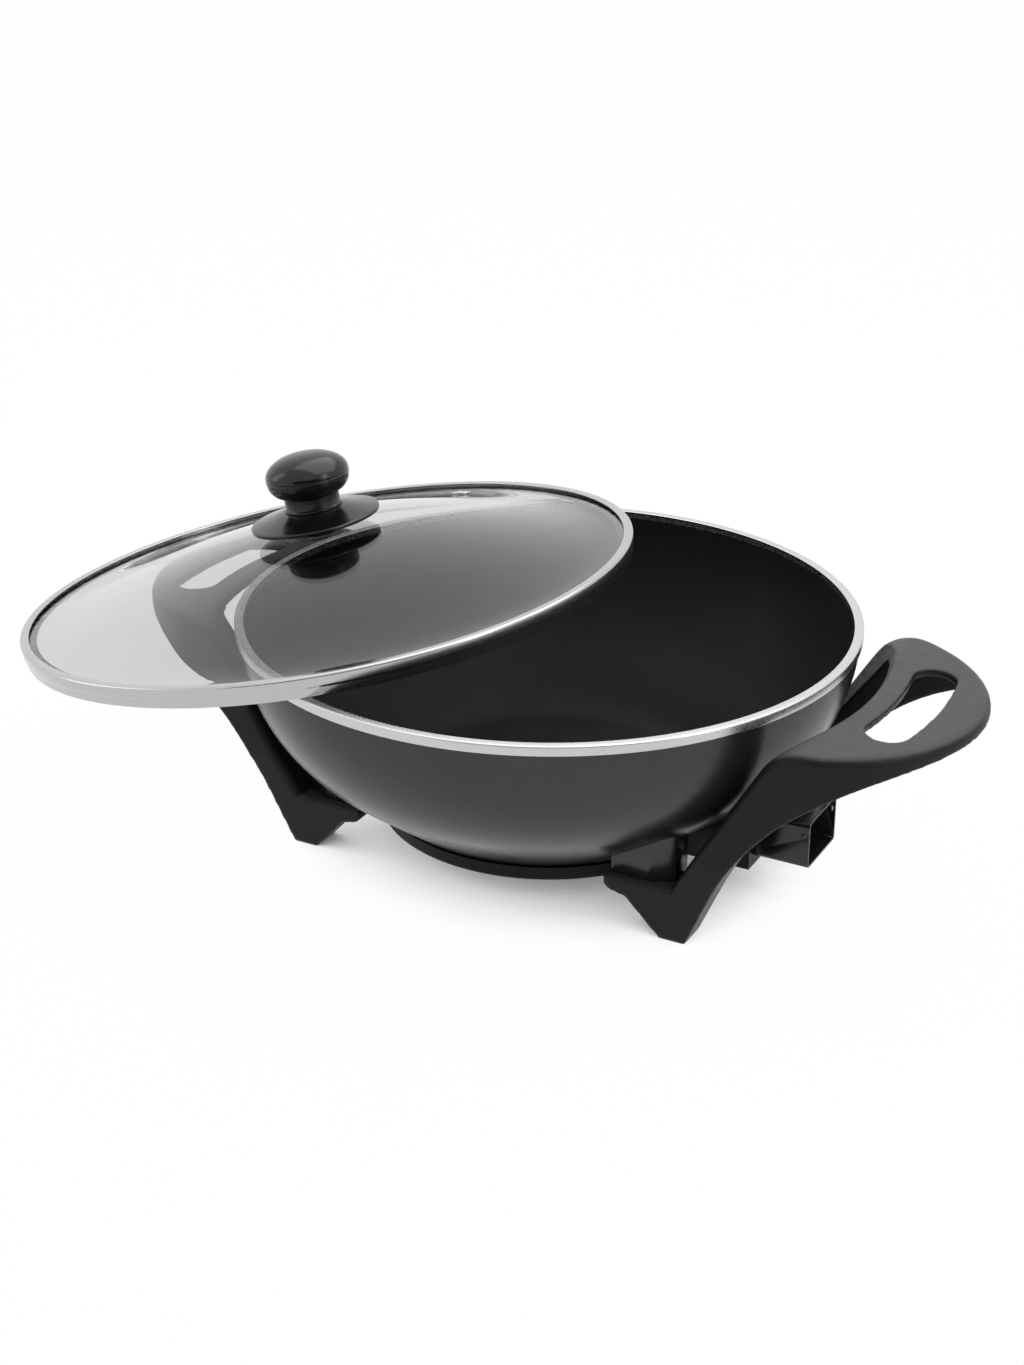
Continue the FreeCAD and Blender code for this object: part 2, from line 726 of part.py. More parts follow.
# the lid leans on two points of the rim and on the ridge of the left handle
ride_z = rim_top_z + rest_gap
heading_out = polar(1, lid_heading_deg)
lid_tilt = 10.0
for step in range(40):
    c = math.cos(math.radians(lid_tilt))
    t = math.tan(math.radians(lid_tilt))
    # where the skirt's inner circle crosses the rim's outer circle, along the lid's heading
    qa = 1 / c ** 2 - 1
    qb = -2 * lid_out / c ** 2
    qc = lid_out ** 2 / c ** 2 + rim_r ** 2 - skirt_inner_r ** 2
    cross_s = -qc / qb if abs(qa) < 1e-9 else (-qb - math.sqrt(qb ** 2 - 4 * qa * qc)) / (2 * qa)
    # the glass could meet the handle's top first in the middle or at the ends of each of these lines
    slopes = []
    for top_x, top_z in ((ridge_x, ridge_z), (tip_x - edge_round, tip_top.z), (grip_front_x, grip_z)):
        half = math.sqrt(max(0.0, (plan_r - edge_round) ** 2 - (top_x - plan_x) ** 2))
        for top_y in (-half, 0, half):
            along = Vector(-top_x, top_y, 0).dot(heading_out)
            aside = Vector(-top_x, top_y, 0).cross(heading_out).z
            glass = glassUnder(math.hypot((along - lid_out) / c, aside)) / c
            slopes.append((ride_z + glass - top_z - rest_gap) / (along - cross_s))
    lid_tilt = math.degrees(math.atan(min(slopes)))

lid_centre_z = ride_z - (lid_out - cross_s) * math.tan(math.radians(lid_tilt))
lean_turn = Rotation(up, lid_heading_deg).multiply(Rotation(Vector(0, 1, 0), lid_tilt))
lid_place = Placement(polar(lid_out, lid_heading_deg, lid_centre_z), lean_turn)

lid_band = turned([
    (skirt_inner_r, 0), (band_low_r, 0), (band_low_r, skirt_h - skirt_step), (lid_r, skirt_h),
    (lid_r, band_h - band_corner), (lid_r - band_corner, band_h),
    (top_lip_r, band_h), (top_lip_r, band_h - band_sheet),
    (glass_edge_r + glass_air, band_h - band_sheet), (glass_edge_r + glass_air, skirt_h),
    (seat_lip_r, skirt_h), (seat_lip_r, skirt_h - band_sheet), (skirt_inner_r, skirt_h - band_sheet),
])

steps = 14
step_r = glass_bevel_r / steps
under = [Vector(step_r * i, 0, glassUnder(step_r * i)) for i in range(steps + 1)]
over = [Vector(p.x, 0, p.z + glass_t) for p in under]


def smooth(points):
    curve = Part.BSplineCurve()
    curve.interpolate(points)
    return curve.toShape()


edge_top = glassUnder(glass_bevel_r) + glass_t
lid_glass = face([
    smooth(under),
    line(under[-1], xz(glass_edge_r, skirt_h)),
    line(xz(glass_edge_r, skirt_h), xz(glass_edge_r, edge_top)),
    line(xz(glass_edge_r, edge_top), over[-1]),
    smooth(over),
    line(over[0], under[0]),
]).revolve(Vector(), up, 360)

crown_top = glass_crown + glass_t
plate_low_z = crown_top + gasket_h + plate_pedestal_h
plate_top_z = plate_low_z + plate_edge_h + plate_rise
lid_glass = lid_glass.cut(cylinder(bore_r, glass_t * 3, xz(0, glass_crown - glass_t)))
vent_at = polar(vent_at_r, vent_deg, 0)
vent_under = glassUnder(vent_at_r)
vent_slope = math.atan((glassUnder(vent_at_r - 1) - glassUnder(vent_at_r + 1)) / 2)
vent_axis = polar(math.sin(vent_slope), vent_deg, math.cos(vent_slope))
vent_base = Vector(vent_at.x, vent_at.y, vent_under)
lid_glass = lid_glass.cut(cylinder(vent_bore_r + vent_wall + rest_gap, glass_t * 4,
                                   vent_base - vent_axis * (1.5 * glass_t), vent_axis))

gasket = tube(gasket_r, bore_r, gasket_h + glass_t / 4, xz(0, crown_top - glass_t / 4)).cut(lid_glass)
lower_gasket = tube(gasket_r * 0.8, bore_r, gasket_h + glass_t / 4, xz(0, glass_crown - gasket_h))
lower_gasket = lower_gasket.cut(lid_glass)
lower_gasket = solids(lower_gasket)[0]


def fourArcs(z, tip_out, tip_r, side_back, side_r, turn):
    """Outline of two tips and two long sides, which meet where it faces so far from the long axis."""
    edges = []
    for s, flip in ((1, 0), (-1, 180)):
        tip = Vector(s * tip_out, 0, z)
        side = Vector(0, -s * side_back, z)
        edges.append(arc(*[tip + polar(tip_r, flip + a) for a in (-turn, 0, turn)]))
        edges.append(arc(*[side + polar(side_r, flip + a) for a in (turn, 90, 180 - turn)]))
    return Part.Wire(edges)


# the oval plate rises from its edge to a round land under the knob
tip_out = plate_len / 2 - plate_tip_r
side_r = (tip_out ** 2 + (plate_wid / 2) ** 2 - plate_tip_r ** 2) / (plate_wid - 2 * plate_tip_r)
side_back = side_r - plate_wid / 2
side_turn = math.degrees(math.asin(side_back / (side_r - plate_tip_r)))
land_r = collar_r + plate_land
edge_low = fourArcs(plate_low_z, tip_out, plate_tip_r, side_back, side_r, side_turn)
edge_high = fourArcs(plate_low_z + plate_edge_h, tip_out, plate_tip_r, side_back, side_r, side_turn)
land = fourArcs(plate_top_z, 0, land_r, 0, land_r, side_turn)
knob_base = Part.Face(edge_low).extrude(up * plate_edge_h).fuse(Part.makeLoft([edge_high, land], True, True))
knob_base.rotate(Vector(), up, plate_deg)
pedestal = cylinder(plate_pedestal_r, plate_pedestal_h, xz(0, plate_low_z - plate_pedestal_h))
knob_base = knob_base.fuse(pedestal)
knob_base = knob_base.removeSplitter().cut(cylinder(bore_r, plate_top_z, xz(0, crown_top)))

neck_top = plate_top_z + neck_h
wide_z = neck_top + head_low_h
head_z = wide_z + head_top_h
crown_r = (head_r ** 2 + head_top_h ** 2) / (2 * head_top_h)
dome_mid = crown_r * math.sin(0.5 * math.asin(head_r / crown_r))
lid_knob = face([
    line(xz(0, plate_top_z), xz(collar_r, plate_top_z)),
    line(xz(collar_r, plate_top_z), xz(collar_r, plate_top_z + collar_h - collar_r + neck_r)),
    line(xz(collar_r, plate_top_z + collar_h - collar_r + neck_r), xz(neck_r, plate_top_z + collar_h)),
    line(xz(neck_r, plate_top_z + collar_h), xz(neck_r, neck_top)),
    arc(xz(neck_r, neck_top), xz(head_r - (head_r - neck_r) * 0.2, neck_top + head_low_h * 0.35),
        xz(head_r, wide_z)),
    arc(xz(head_r, wide_z), xz(dome_mid, head_z - crown_r + math.sqrt(crown_r ** 2 - dome_mid ** 2)),
        xz(0, head_z)),
    line(xz(0, head_z), xz(0, plate_top_z)),
]).revolve(Vector(), up, 360)
screw_seat = glass_crown - gasket_h
grip_through = plate_top_z - screw_seat
lid_knob = lid_knob.cut(cylinder(knob_screw_r + screw_fit, knob_bite, xz(0, plate_top_z)))
knob_screw = screw(xz(0, screw_seat), up, knob_screw_r, knob_screw_head_r, knob_screw_head_h, grip_through,
                   knob_bite - side_gap)

vent_len = glass_t + 2 * rest_gap
steam_vent = tube(vent_bore_r + vent_wall, vent_bore_r, vent_len + 2 * vent_flange_h,
                  vent_base - vent_axis * (vent_flange_h + rest_gap), vent_axis)
for at in (-vent_flange_h - rest_gap, vent_len - rest_gap):
    steam_vent = steam_vent.fuse(tube(vent_flange_r, vent_bore_r, vent_flange_h, vent_base + vent_axis * at,
                                      vent_axis))
steam_vent = steam_vent.removeSplitter()

# ---------- the parts, moved so that the origin is under the middle ----------
lid_nodes = {
    "lid_glass": lid_glass,
    "lid_band": lid_band,
    "lid_knob": lid_knob,
    "knob_base": knob_base,
    "knob_gaskets": group([gasket, lower_gasket]),
    "knob_screw": knob_screw,
    "steam_vent": steam_vent,
}
for shape in lid_nodes.values():
    shape.Placement = lid_place.multiply(shape.Placement)

nodes = {
    "bowl": bowl,
    "mounting_lugs": group(lugs),
    "terminal_block": block,
    "heat_shield": heat_shield,
    "shield_screw": shield_screw,
    "heating_element": heating_element,
    "terminal_pins": group(pins),
    "terminal_beads": group(beads),
    "probe_sleeve": probe_sleeve,
    "inlet_guard": guard,
    "guard_studs": group(guard_studs),
    "guard_screws": group(guard_screws),
    "handle_right": handle,
    "handle_left": mirrorX(handle),
    "handle_screws_right": group(handle_screws),
    "handle_screws_left": group([mirrorX(s) for s in handle_screws]),
    "handle_washers_right": group(handle_washers),
    "handle_washers_left": group([mirrorX(s) for s in handle_washers]),
}
nodes.update(lid_nodes)

lid_ext = lid_r * math.cos(math.radians(lid_tilt))
across = lid_r * math.hypot(math.cos(math.radians(lid_heading_deg)),
                            math.sin(math.radians(lid_heading_deg)) * math.cos(math.radians(lid_tilt)))
left_end = polar(lid_out, lid_heading_deg).x - math.hypot(
    lid_ext * math.cos(math.radians(lid_heading_deg)), lid_r * math.sin(math.radians(lid_heading_deg)))
low_y = polar(lid_out, lid_heading_deg).y - across
shift = Vector(-(left_end + tip_x) / 2, -(low_y + rim_r) / 2, 0)

os.makedirs("parts", exist_ok=True)
for name, shape in nodes.items():
    shape.translate(shift)
    shape.exportStep("parts/" + name + ".step")
print("shift", round(shift.x, 2), round(shift.y, 2), "lid tilt", round(lid_tilt, 2), "lid centre z",
      round(lid_centre_z, 2), "tip x", round(tip_x, 1))
for name, shape in nodes.items():
    b = shape.BoundBox
    print(name, len(shape.Solids), shape.isValid(), round(shape.Volume), [round(v, 1) for v in (
        b.XMin, b.XMax, b.YMin, b.YMax, b.ZMin, b.ZMax)])
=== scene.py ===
import math

import bmesh
import bpy
from mathutils import Matrix, Vector


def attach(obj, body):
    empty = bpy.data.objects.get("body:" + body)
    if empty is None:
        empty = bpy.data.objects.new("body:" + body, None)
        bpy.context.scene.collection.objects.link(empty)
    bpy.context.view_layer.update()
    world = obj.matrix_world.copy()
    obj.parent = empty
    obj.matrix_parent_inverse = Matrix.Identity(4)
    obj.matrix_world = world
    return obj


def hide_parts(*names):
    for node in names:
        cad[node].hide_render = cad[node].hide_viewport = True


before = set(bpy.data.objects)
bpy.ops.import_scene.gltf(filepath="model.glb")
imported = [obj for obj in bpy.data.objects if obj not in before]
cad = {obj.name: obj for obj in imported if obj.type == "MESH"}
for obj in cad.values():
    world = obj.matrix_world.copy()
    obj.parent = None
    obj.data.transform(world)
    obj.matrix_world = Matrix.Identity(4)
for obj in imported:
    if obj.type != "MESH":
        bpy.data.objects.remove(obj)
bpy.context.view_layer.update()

scene = bpy.context.scene
mm = 0.001

# where the two bodies stand in the frame, in millimetres and degrees
stand = {"axisX": 34.13, "axisY": 7.03, "lidOut": 144.7, "lidHeading": 183.2, "lidTilt": 10.16,
         "lidHeight": 130.08}
wokAxis = Vector((stand["axisX"], stand["axisY"], 0.0)) * mm
lidTurn = math.radians(stand["lidHeading"])
lidSpot = wokAxis + Vector((math.cos(lidTurn) * stand["lidOut"], math.sin(lidTurn) * stand["lidOut"],
                            stand["lidHeight"])) * mm
wokPlace = Matrix.Translation(wokAxis) @ Matrix.Scale(mm, 4)
lidPlace = (Matrix.Translation(lidSpot) @ Matrix.Rotation(lidTurn, 4, "Z")
            @ Matrix.Rotation(math.radians(stand["lidTilt"]), 4, "Y") @ Matrix.Scale(mm, 4))


# shader maths: a socket that takes plain arithmetic
class Line:
    def __init__(self, paint, socket):
        self.paint, self.socket = paint, socket

    def join(self, operation, *values):
        return self.paint.add("ShaderNodeMath", {"operation": operation}, dict(enumerate(values)))

    def __add__(self, other): return self.join("ADD", self, other)
    def __radd__(self, other): return self.join("ADD", other, self)
    def __mul__(self, other): return self.join("MULTIPLY", self, other)
    def __pow__(self, other): return self.join("POWER", self, other)


class Board:
    # a node tree and the ways to fill it
    def __init__(self, tree):
        self.tree = tree

    def add(self, kind, settings=None, sockets=None, out=0):
        made = self.tree.nodes.new(kind)
        for key, value in (settings or {}).items():
            setattr(made, key, value)
        for key, value in (sockets or {}).items():
            self.feed(made.inputs[key], value)
        return Line(self, made.outputs[out])

    def feed(self, socket, value):
        if isinstance(value, Line):
            self.tree.links.new(value.socket, socket)
        else:
            socket.default_value = value

    def place(self, centre=(0, 0, 0), turn=(0, 0, 0)):
        spot = self.add("ShaderNodeTexCoord", out="Object")
        return self.add("ShaderNodeMapping", {"vector_type": "TEXTURE"},
                        {"Vector": spot, "Location": centre, "Rotation": turn})

    def parts(self, vector):
        split = self.add("ShaderNodeSeparateXYZ", sockets={0: vector}).socket.node
        return [Line(self, output) for output in split.outputs]

    def noise(self, spot, scale, detail=2.0, roughness=0.5):
        return self.add("ShaderNodeTexNoise", sockets={
            "Vector": spot, "Scale": scale, "Detail": detail, "Roughness": roughness})

    def ease(self, value, low, high, toLow=0.0, toHigh=1.0):
        return self.add("ShaderNodeMapRange", {"interpolation_type": "SMOOTHSTEP"},
                        {0: value, 1: low, 2: high, 3: toLow, 4: toHigh})

    def mix(self, factor, first, second):
        return self.add("ShaderNodeMix", {"data_type": "RGBA"}, {0: factor, 6: first, 7: second}, out=2)

    def bump(self, height, strength, distance):
        return self.add("ShaderNodeBump", sockets={
            "Height": height, "Strength": strength, "Distance": distance})


class Paint(Board):
    # one material; plain values go straight onto the shader's sockets
    def __init__(self, name, **plain):
        self.material = bpy.data.materials.new(name)
        self.material.use_nodes = True
        super().__init__(self.material.node_tree)
        self.shader = self.tree.nodes["Principled BSDF"]
        self.out = self.tree.nodes["Material Output"]
        for key, value in plain.items():
            self.set(key, value)

    def set(self, name, value):
        self.feed(self.shader.inputs[name.replace("_", " ")], value)

    def blend(self, factor, other):
        # the surface is this shader, and the other one by the factor
        both = self.add("ShaderNodeMixShader", sockets={0: factor})
        self.tree.links.new(self.shader.outputs[0], both.socket.node.inputs[1])
        self.tree.links.new(other.socket, both.socket.node.inputs[2])
        self.tree.links.new(both.socket, self.out.inputs["Surface"])


def grey(value, warm=0.0):
    return (value * (1 + warm), value, value * (1 - warm), 1.0)


def ringsRound(paint, centre, turn, pitch):
    # fine turned lines about an axis, a height from 0 to 1
    x, y = paint.parts(paint.place(centre, turn))[:2]
    reach = (x * x + y * y) ** 0.5
    wave = paint.add("ShaderNodeMath", {"operation": "SINE"}, {0: reach * (2 * math.pi / pitch)})
    return wave * 0.5 + 0.5


# finishes

def grainedPlastic(name, base, roughness, grain, grainScale=1900.0, paintedTopLight=2.2):
    # faces that look up are painted paler by this factor, a painted sheen of the overhead light on their tops
    paint = Paint(name, Specular_IOR_Level=0.17)
    spot = paint.place()
    fine = paint.noise(spot, grainScale, 3.0, 0.6)
    broad = paint.noise(spot, 45.0, 3.0)
    wear = paint.noise(spot, 260.0, 4.0)
    shade = paint.mix(broad, grey(base * 0.8), grey(base * 1.25))
    # painted highlight: the base colour turns paler where the surface faces upward
    upward = paint.parts(paint.add("ShaderNodeTexCoord", out="Normal"))[2]
    paint.set("Base Color", paint.mix(paint.ease(upward, 0.55, 0.95), shade, grey(base * paintedTopLight)))
    paint.set("Roughness", paint.ease(wear, 0.3, 0.7, roughness - 0.05, roughness + 0.06))
    paint.set("Normal", paint.bump(fine, grain, 0.0002))
    return paint.material


def glossPlastic(name, base, roughness):
    paint = Paint(name, Specular_IOR_Level=0.42)
    spot = paint.place()
    broad = paint.noise(spot, 60.0, 2.0)
    smear = paint.noise(spot, 120.0, 2.0)
    paint.set("Base Color", paint.mix(broad, grey(base * 0.85), grey(base * 1.2)))
    paint.set("Roughness", paint.ease(smear, 0.35, 0.75, roughness, roughness + 0.07))
    paint.set("Normal", paint.bump(broad, 0.04, 0.0003))
    return paint.material


def hammeredCoat(name, base, roughness):
    # charcoal enamel outside the bowl, with an orange peel that is stronger towards the rim
    paint = Paint(name, Metallic=0.75, Specular_IOR_Level=0.4, Specular_Tint=grey(0.85))
    spot = paint.place()
    height = paint.parts(spot)[2]
    peel = paint.noise(spot, 520.0, 2.0, 0.45)
    flake = paint.noise(spot, 2600.0, 2.0, 0.7)
    broad = paint.noise(spot, 18.0, 3.0)
    nearRim = paint.ease(height, 0.05, 0.13, 0.35, 1.0)
    shade = paint.mix(broad, grey(base * 0.88), grey(base * 1.12))
    paint.set("Base Color", paint.mix(paint.ease(flake, 0.62, 0.75, 0.0, 0.5), shade, grey(base * 3.0)))
    paint.set("Roughness", paint.ease(broad, 0.3, 0.7, roughness - 0.04, roughness + 0.05))
    paint.set("Normal", paint.bump(peel * nearRim, 0.35, 0.00022))
    return paint.material


def nonStick(name, base, roughness):
    paint = Paint(name, Specular_IOR_Level=0.18)
    spot = paint.place()
    speck = paint.noise(spot, 3400.0, 2.0, 0.8)
    broad = paint.noise(spot, 22.0, 3.0)
    shade = paint.mix(broad, grey(base * 0.85), grey(base * 1.15))
    paint.set("Base Color", paint.mix(paint.ease(speck, 0.66, 0.78, 0.0, 0.35), shade, grey(0.16)))
    paint.set("Roughness", paint.ease(broad, 0.3, 0.7, roughness - 0.03, roughness + 0.05))
    paint.set("Normal", paint.bump(speck, 0.12, 0.00005))
    return paint.material


def turnedMetal(name, base, roughness, centre, turn, pitch, depth):
    paint = Paint(name, Metallic=1.0)
    spot = paint.place()
    rings = ringsRound(paint, centre, turn, pitch)
    broad = paint.noise(spot, 35.0, 3.0)
    fine = paint.noise(spot, 900.0, 3.0)
    paint.set("Base Color", paint.mix(broad, grey(base * 0.92), grey(base)))
    paint.set("Roughness", paint.ease(fine, 0.3, 0.7, roughness * 0.8, roughness * 1.25))
    paint.set("Normal", paint.bump(rings, depth, 0.000012))
    return paint.material


def platedSteel(name, base, roughness, warm=0.0):
    paint = Paint(name, Metallic=1.0)
    spot = paint.place()
    broad = paint.noise(spot, 120.0, 3.0)
    fine = paint.noise(spot, 2200.0, 3.0)
    paint.set("Base Color", paint.mix(broad, grey(base * 0.8, warm), grey(base, warm)))
    paint.set("Roughness", paint.ease(broad, 0.3, 0.7, roughness - 0.05, roughness + 0.08))
    paint.set("Normal", paint.bump(fine, 0.15, 0.00004))
    return paint.material


def sheetEnamel(name, base, roughness, shine=0.5):
    paint = Paint(name, Specular_IOR_Level=shine)
    spot = paint.place()
    broad = paint.noise(spot, 40.0, 3.0)
    paint.set("Base Color", paint.mix(broad, grey(base * 0.8), grey(base * 1.2)))
    paint.set("Roughness", paint.ease(broad, 0.3, 0.7, roughness - 0.05, roughness + 0.06))
    paint.set("Normal", paint.bump(paint.noise(spot, 700.0, 2.0), 0.12, 0.0001))
    return paint.material


def temperedGlass(name):
    paint = Paint(name, Roughness=0.0, IOR=1.46, Transmission_Weight=1.0)
    smear = paint.noise(paint.place(), 30.0, 3.0)
    paint.set("Base Color", paint.mix(smear, grey(0.57), grey(0.6)))
    through = paint.add("ShaderNodeBsdfTransparent", sockets={"Color": grey(0.86)})
    paint.blend(paint.add("ShaderNodeLightPath", out="Is Shadow Ray"), through)
    return paint.material


def glazedBead(name):
    paint = Paint(name, Coat_Weight=0.3)
    spot = paint.place()
    paint.set("Base Color", paint.mix(paint.noise(spot, 500.0, 3.0), grey(0.62, 0.02), grey(0.78, 0.02)))
    paint.set("Roughness", paint.ease(paint.noise(spot, 200.0, 2.0), 0.3, 0.7, 0.3, 0.45))
    return paint.material


lidLean = (0.0, math.radians(stand["lidTilt"]), lidTurn)
coats = {
    "outside": hammeredCoat("charcoalEnamel", 0.052, 0.24),
    "inside": nonStick("nonStickBlack", 0.008, 0.5),
    "rim": turnedMetal("turnedRim", 0.62, 0.27, wokAxis, (0, 0, 0), 0.0006, 0.03),
    "shield": sheetEnamel("shieldBlack", 0.007, 0.5, 0.12),
}
# these go by the name of a slot
finishes = {
    "cast_bowl": hammeredCoat("castCharcoal", 0.022, 0.4),
    # the handles' tops are painted six times paler, a painted sheen of the light from above
    "black_moulding": grainedPlastic("grainedBlack", 0.0095, 0.4, 0.8, 1100.0, 6.0),
    "knob_plastic": glossPlastic("knobBlack", 0.004, 0.17),
    "black_sheet": sheetEnamel("sheetBlack", 0.008, 0.2),
    "stainless": turnedMetal("bandSteel", 0.52, 0.2, lidSpot, lidLean, 0.0009, 0.08),
    "zinc_steel": platedSteel("zincSteel", 0.62, 0.3, 0.02),
    "clear_glass": temperedGlass("temperedGlass"),
    "soft_seal": grainedPlastic("sealRubber", 0.018, 0.7, 0.3),
    "ceramic_bead": glazedBead("glazedBead"),
}
print("finishes ready:", len(coats) + len(finishes))


# making pieces

def rounded(corners, closed=False, steps=5):
    # corners are (radius, height, rounding); returns the outline with its corners turned as arcs
    outline = []
    count = len(corners)
    for i, (x, z, radius) in enumerate(corners):
        at = Vector((x, z))
        if radius == 0 or (not closed and i in (0, count - 1)):
            outline.append(at)
            continue
        before = (Vector(corners[i - 1][:2]) - at).normalized()
        after = (Vector(corners[(i + 1) % count][:2]) - at).normalized()
        half = before.angle(after) / 2
        reach = radius / math.tan(half)
        centre = at + (before + after).normalized() * (radius / math.sin(half))
        first, last = at + before * reach - centre, at + after * reach - centre
        sweep = first.angle_signed(last)
        parts = max(2, int(steps * abs(sweep) / (math.pi / 2)) + 1)
        for k in range(parts + 1):
            outline.append(centre + Matrix.Rotation(-sweep * k / parts, 2) @ first)
    return outline


def spun(outline, steps, closed=False, weld=0.0005):
    shape = bmesh.new()
    verts = [shape.verts.new((p.x, 0, p.y)) for p in outline]
    for first, second in zip(verts, verts[1:]):
        shape.edges.new((first, second))
    if closed:
        shape.edges.new((verts[-1], verts[0]))
    bmesh.ops.spin(shape, geom=shape.verts[:] + shape.edges[:], axis=(0, 0, 1), cent=(0, 0, 0),
                   angle=2 * math.pi, steps=steps, use_merge=True)
    bmesh.ops.remove_doubles(shape, verts=shape.verts, dist=weld)
    return shape


def place(shape, matrix):
    bmesh.ops.transform(shape, matrix=matrix, verts=shape.verts)
    return shape


def build(name, shape, paints, body, nodes, crease=40):
    bmesh.ops.recalc_face_normals(shape, faces=shape.faces)
    for face in shape.faces:
        face.smooth = True
    mesh = bpy.data.meshes.new(name)
    shape.to_mesh(mesh)
    shape.free()
    mesh.set_sharp_from_angle(angle=math.radians(crease))
    for paint in paints:
        mesh.materials.append(paint)
    piece = bpy.data.objects.new(name, mesh)
    scene.collection.objects.link(piece)
    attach(piece, body)
    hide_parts(*nodes)
    print("made", name, len(mesh.polygons))
    return piece


def baked(piece):
    # the piece's modifiers become its mesh
    scene.view_layers[0].update()
    seen = piece.evaluated_get(bpy.context.evaluated_depsgraph_get())
    mesh = bpy.data.meshes.new_from_object(seen)
    piece.modifiers.clear()
    piece.data = mesh


def copied(node, weld=0.00002):
    # a merged copy of a CAD node's mesh
    shape = bmesh.new()
    shape.from_mesh(cad[node].data)
    bmesh.ops.remove_doubles(shape, verts=shape.verts, dist=weld)
    return shape


def flats(shape, angle=0.6):
    bmesh.ops.dissolve_limit(shape, angle_limit=math.radians(angle), verts=shape.verts, edges=shape.edges)
    return shape


# bowl: one casting, coated outside and inside, its rim turned bright

bowlSizes = {"flankCentre": 73.75, "flankRadius": 105.1, "flankTurn": 52.4, "rimTop": 143.4,
             "rimOut": 180.0, "rimIn": 174.6, "rimDepth": 5.6, "rimStep": 1.0, "wall": 3.6,
             "floor": 25.5, "inside": 33.5, "heel": 26.0, "innerHeel": 34.0, "studRadius": 9.0,
             "studLow": 22.05, "darkLine": 0.5, "near": 0.2, "overFloor": 4.0, "upward": 0.02}


def flank(inset, bottom, heel, top, steps=28):
    # points from the wall's top down the round flank and the cone to the floor's middle
    s = bowlSizes
    radius = s["flankRadius"] - inset
    points = []
    first = math.asin((s["rimTop"] - top) / radius) if top < s["rimTop"] else 0.0
    for i in range(steps + 1):
        angle = first + (math.radians(s["flankTurn"]) - first) * i / steps
        points.append((s["flankCentre"] + radius * math.cos(angle),
                       s["rimTop"] - radius * math.sin(angle), 0))
    low = points[-1]
    corner = low[0] - (low[1] - bottom) * math.tan(math.radians(s["flankTurn"]))
    return points + [(corner, bottom, heel)]


def makeBowl():
    s = bowlSizes
    underRim = s["rimTop"] - s["rimDepth"]
    rimFoot = s["rimTop"] - s["rimStep"]
    outside = flank(0, s["floor"], s["heel"], underRim)
    inside = flank(s["wall"], s["inside"], s["innerHeel"], rimFoot)
    stud = [(s["studRadius"], s["floor"], 1.0), (s["studRadius"], s["studLow"], 0.5), (0, s["studLow"], 0)]
    rim = [(s["rimIn"], rimFoot, 0.3), (s["rimIn"], s["rimTop"], 0.5),
           (s["rimOut"], s["rimTop"], 0.9), (s["rimOut"], underRim, 0.5)]
    corners = [(0, s["inside"], 0)] + inside[::-1] + rim + outside + stud
    shape = spun(rounded(corners, steps=8), 256)
    for face in shape.faces:
        middle = face.calc_center_median()
        reach = math.hypot(middle.x, middle.y)
        inward = middle.z > s["floor"] + s["overFloor"] and middle.xy.dot(face.normal.xy) < 0
        if reach > s["rimIn"] - s["near"] and middle.z > underRim - s["near"]:
            dark = reach < s["rimIn"] + s["darkLine"] and middle.z < s["rimTop"] - s["near"]
            face.material_index = 1 if dark else 2
        elif face.normal.z > s["upward"] or inward:
            face.material_index = 1
    return shape


build("wokBowl", place(makeBowl(), wokPlace), [coats["outside"], coats["inside"], coats["rim"]], "wok",
      ["bowl"])


# handles: hollow mouldings, their skin in fine voxels whose edges are then softened so many times
handleSizes = {"voxel": 1.05, "soften": 5}


def makeHandle(name, node):
    s = handleSizes
    raw = bpy.data.meshes.new(name + "Raw")
    shape = copied(node)
    shape.to_mesh(raw)
    shape.free()
    rough = bpy.data.objects.new(name + "Raw", raw)
    scene.collection.objects.link(rough)
    remesh = rough.modifiers.new("skin", "REMESH")
    remesh.mode, remesh.voxel_size = "VOXEL", s["voxel"] * mm
    baked(rough)
    shape = bmesh.new()
    shape.from_mesh(rough.data)
    bpy.data.objects.remove(rough)
    for _ in range(s["soften"]):
        bmesh.ops.smooth_vert(shape, verts=shape.verts, factor=0.5, use_axis_x=True, use_axis_y=True,
                              use_axis_z=True)
    build(name, shape, [finishes["black_moulding"]], "wok", [node], crease=180)


makeHandle("rightHandle", "handle_right")
makeHandle("leftHandle", "handle_left")


# lid: domed glass in a steel band, with a knob on an oval plate and a steam vent

lidSizes = {"bandRadius": 186.0, "bandHeight": 12.0, "skirtRadius": 184.8, "skirtInner": 183.4,
            "skirtHeight": 6.0, "skirtStep": 1.2, "sheet": 0.9, "lean": 0.5, "seatLip": 176.0,
            "topLip": 180.5, "glassEdge": 184.2, "glassThick": 4.0, "glassAir": 0.1, "sheetAir": 0.05,
            "domeStart": 173.0, "crown": 37.0, "domePower": 1.48, "bore": 4.0}


def glassUnder(r):
    s = lidSizes
    share = max(0.0, 1 - (r / s["domeStart"]) ** 2)
    return s["skirtHeight"] + (s["crown"] - s["skirtHeight"]) * share ** s["domePower"]


def makeBand():
    s = lidSizes
    low = s["skirtHeight"] - s["sheet"]
    lip = s["bandHeight"] - s["sheet"] + s["sheetAir"]
    groove = s["glassEdge"] + s["glassAir"]
    corners = [(s["skirtInner"], 0, 0.5), (s["skirtRadius"] - s["lean"], 0, 0.5),
               (s["skirtRadius"], s["skirtHeight"] - s["skirtStep"], 0.7),
               (s["bandRadius"] - s["lean"], s["skirtHeight"], 0.8),
               (s["bandRadius"], s["bandHeight"], 1.3),
               (s["topLip"], s["bandHeight"], 0.4), (s["topLip"], lip, 0.3),
               (groove, lip, 0), (groove, s["skirtHeight"], 0),
               (s["seatLip"], s["skirtHeight"], 0.3), (s["seatLip"], low, 0.3), (s["skirtInner"], low, 0.6)]
    return spun(rounded(corners, True), 256, closed=True)


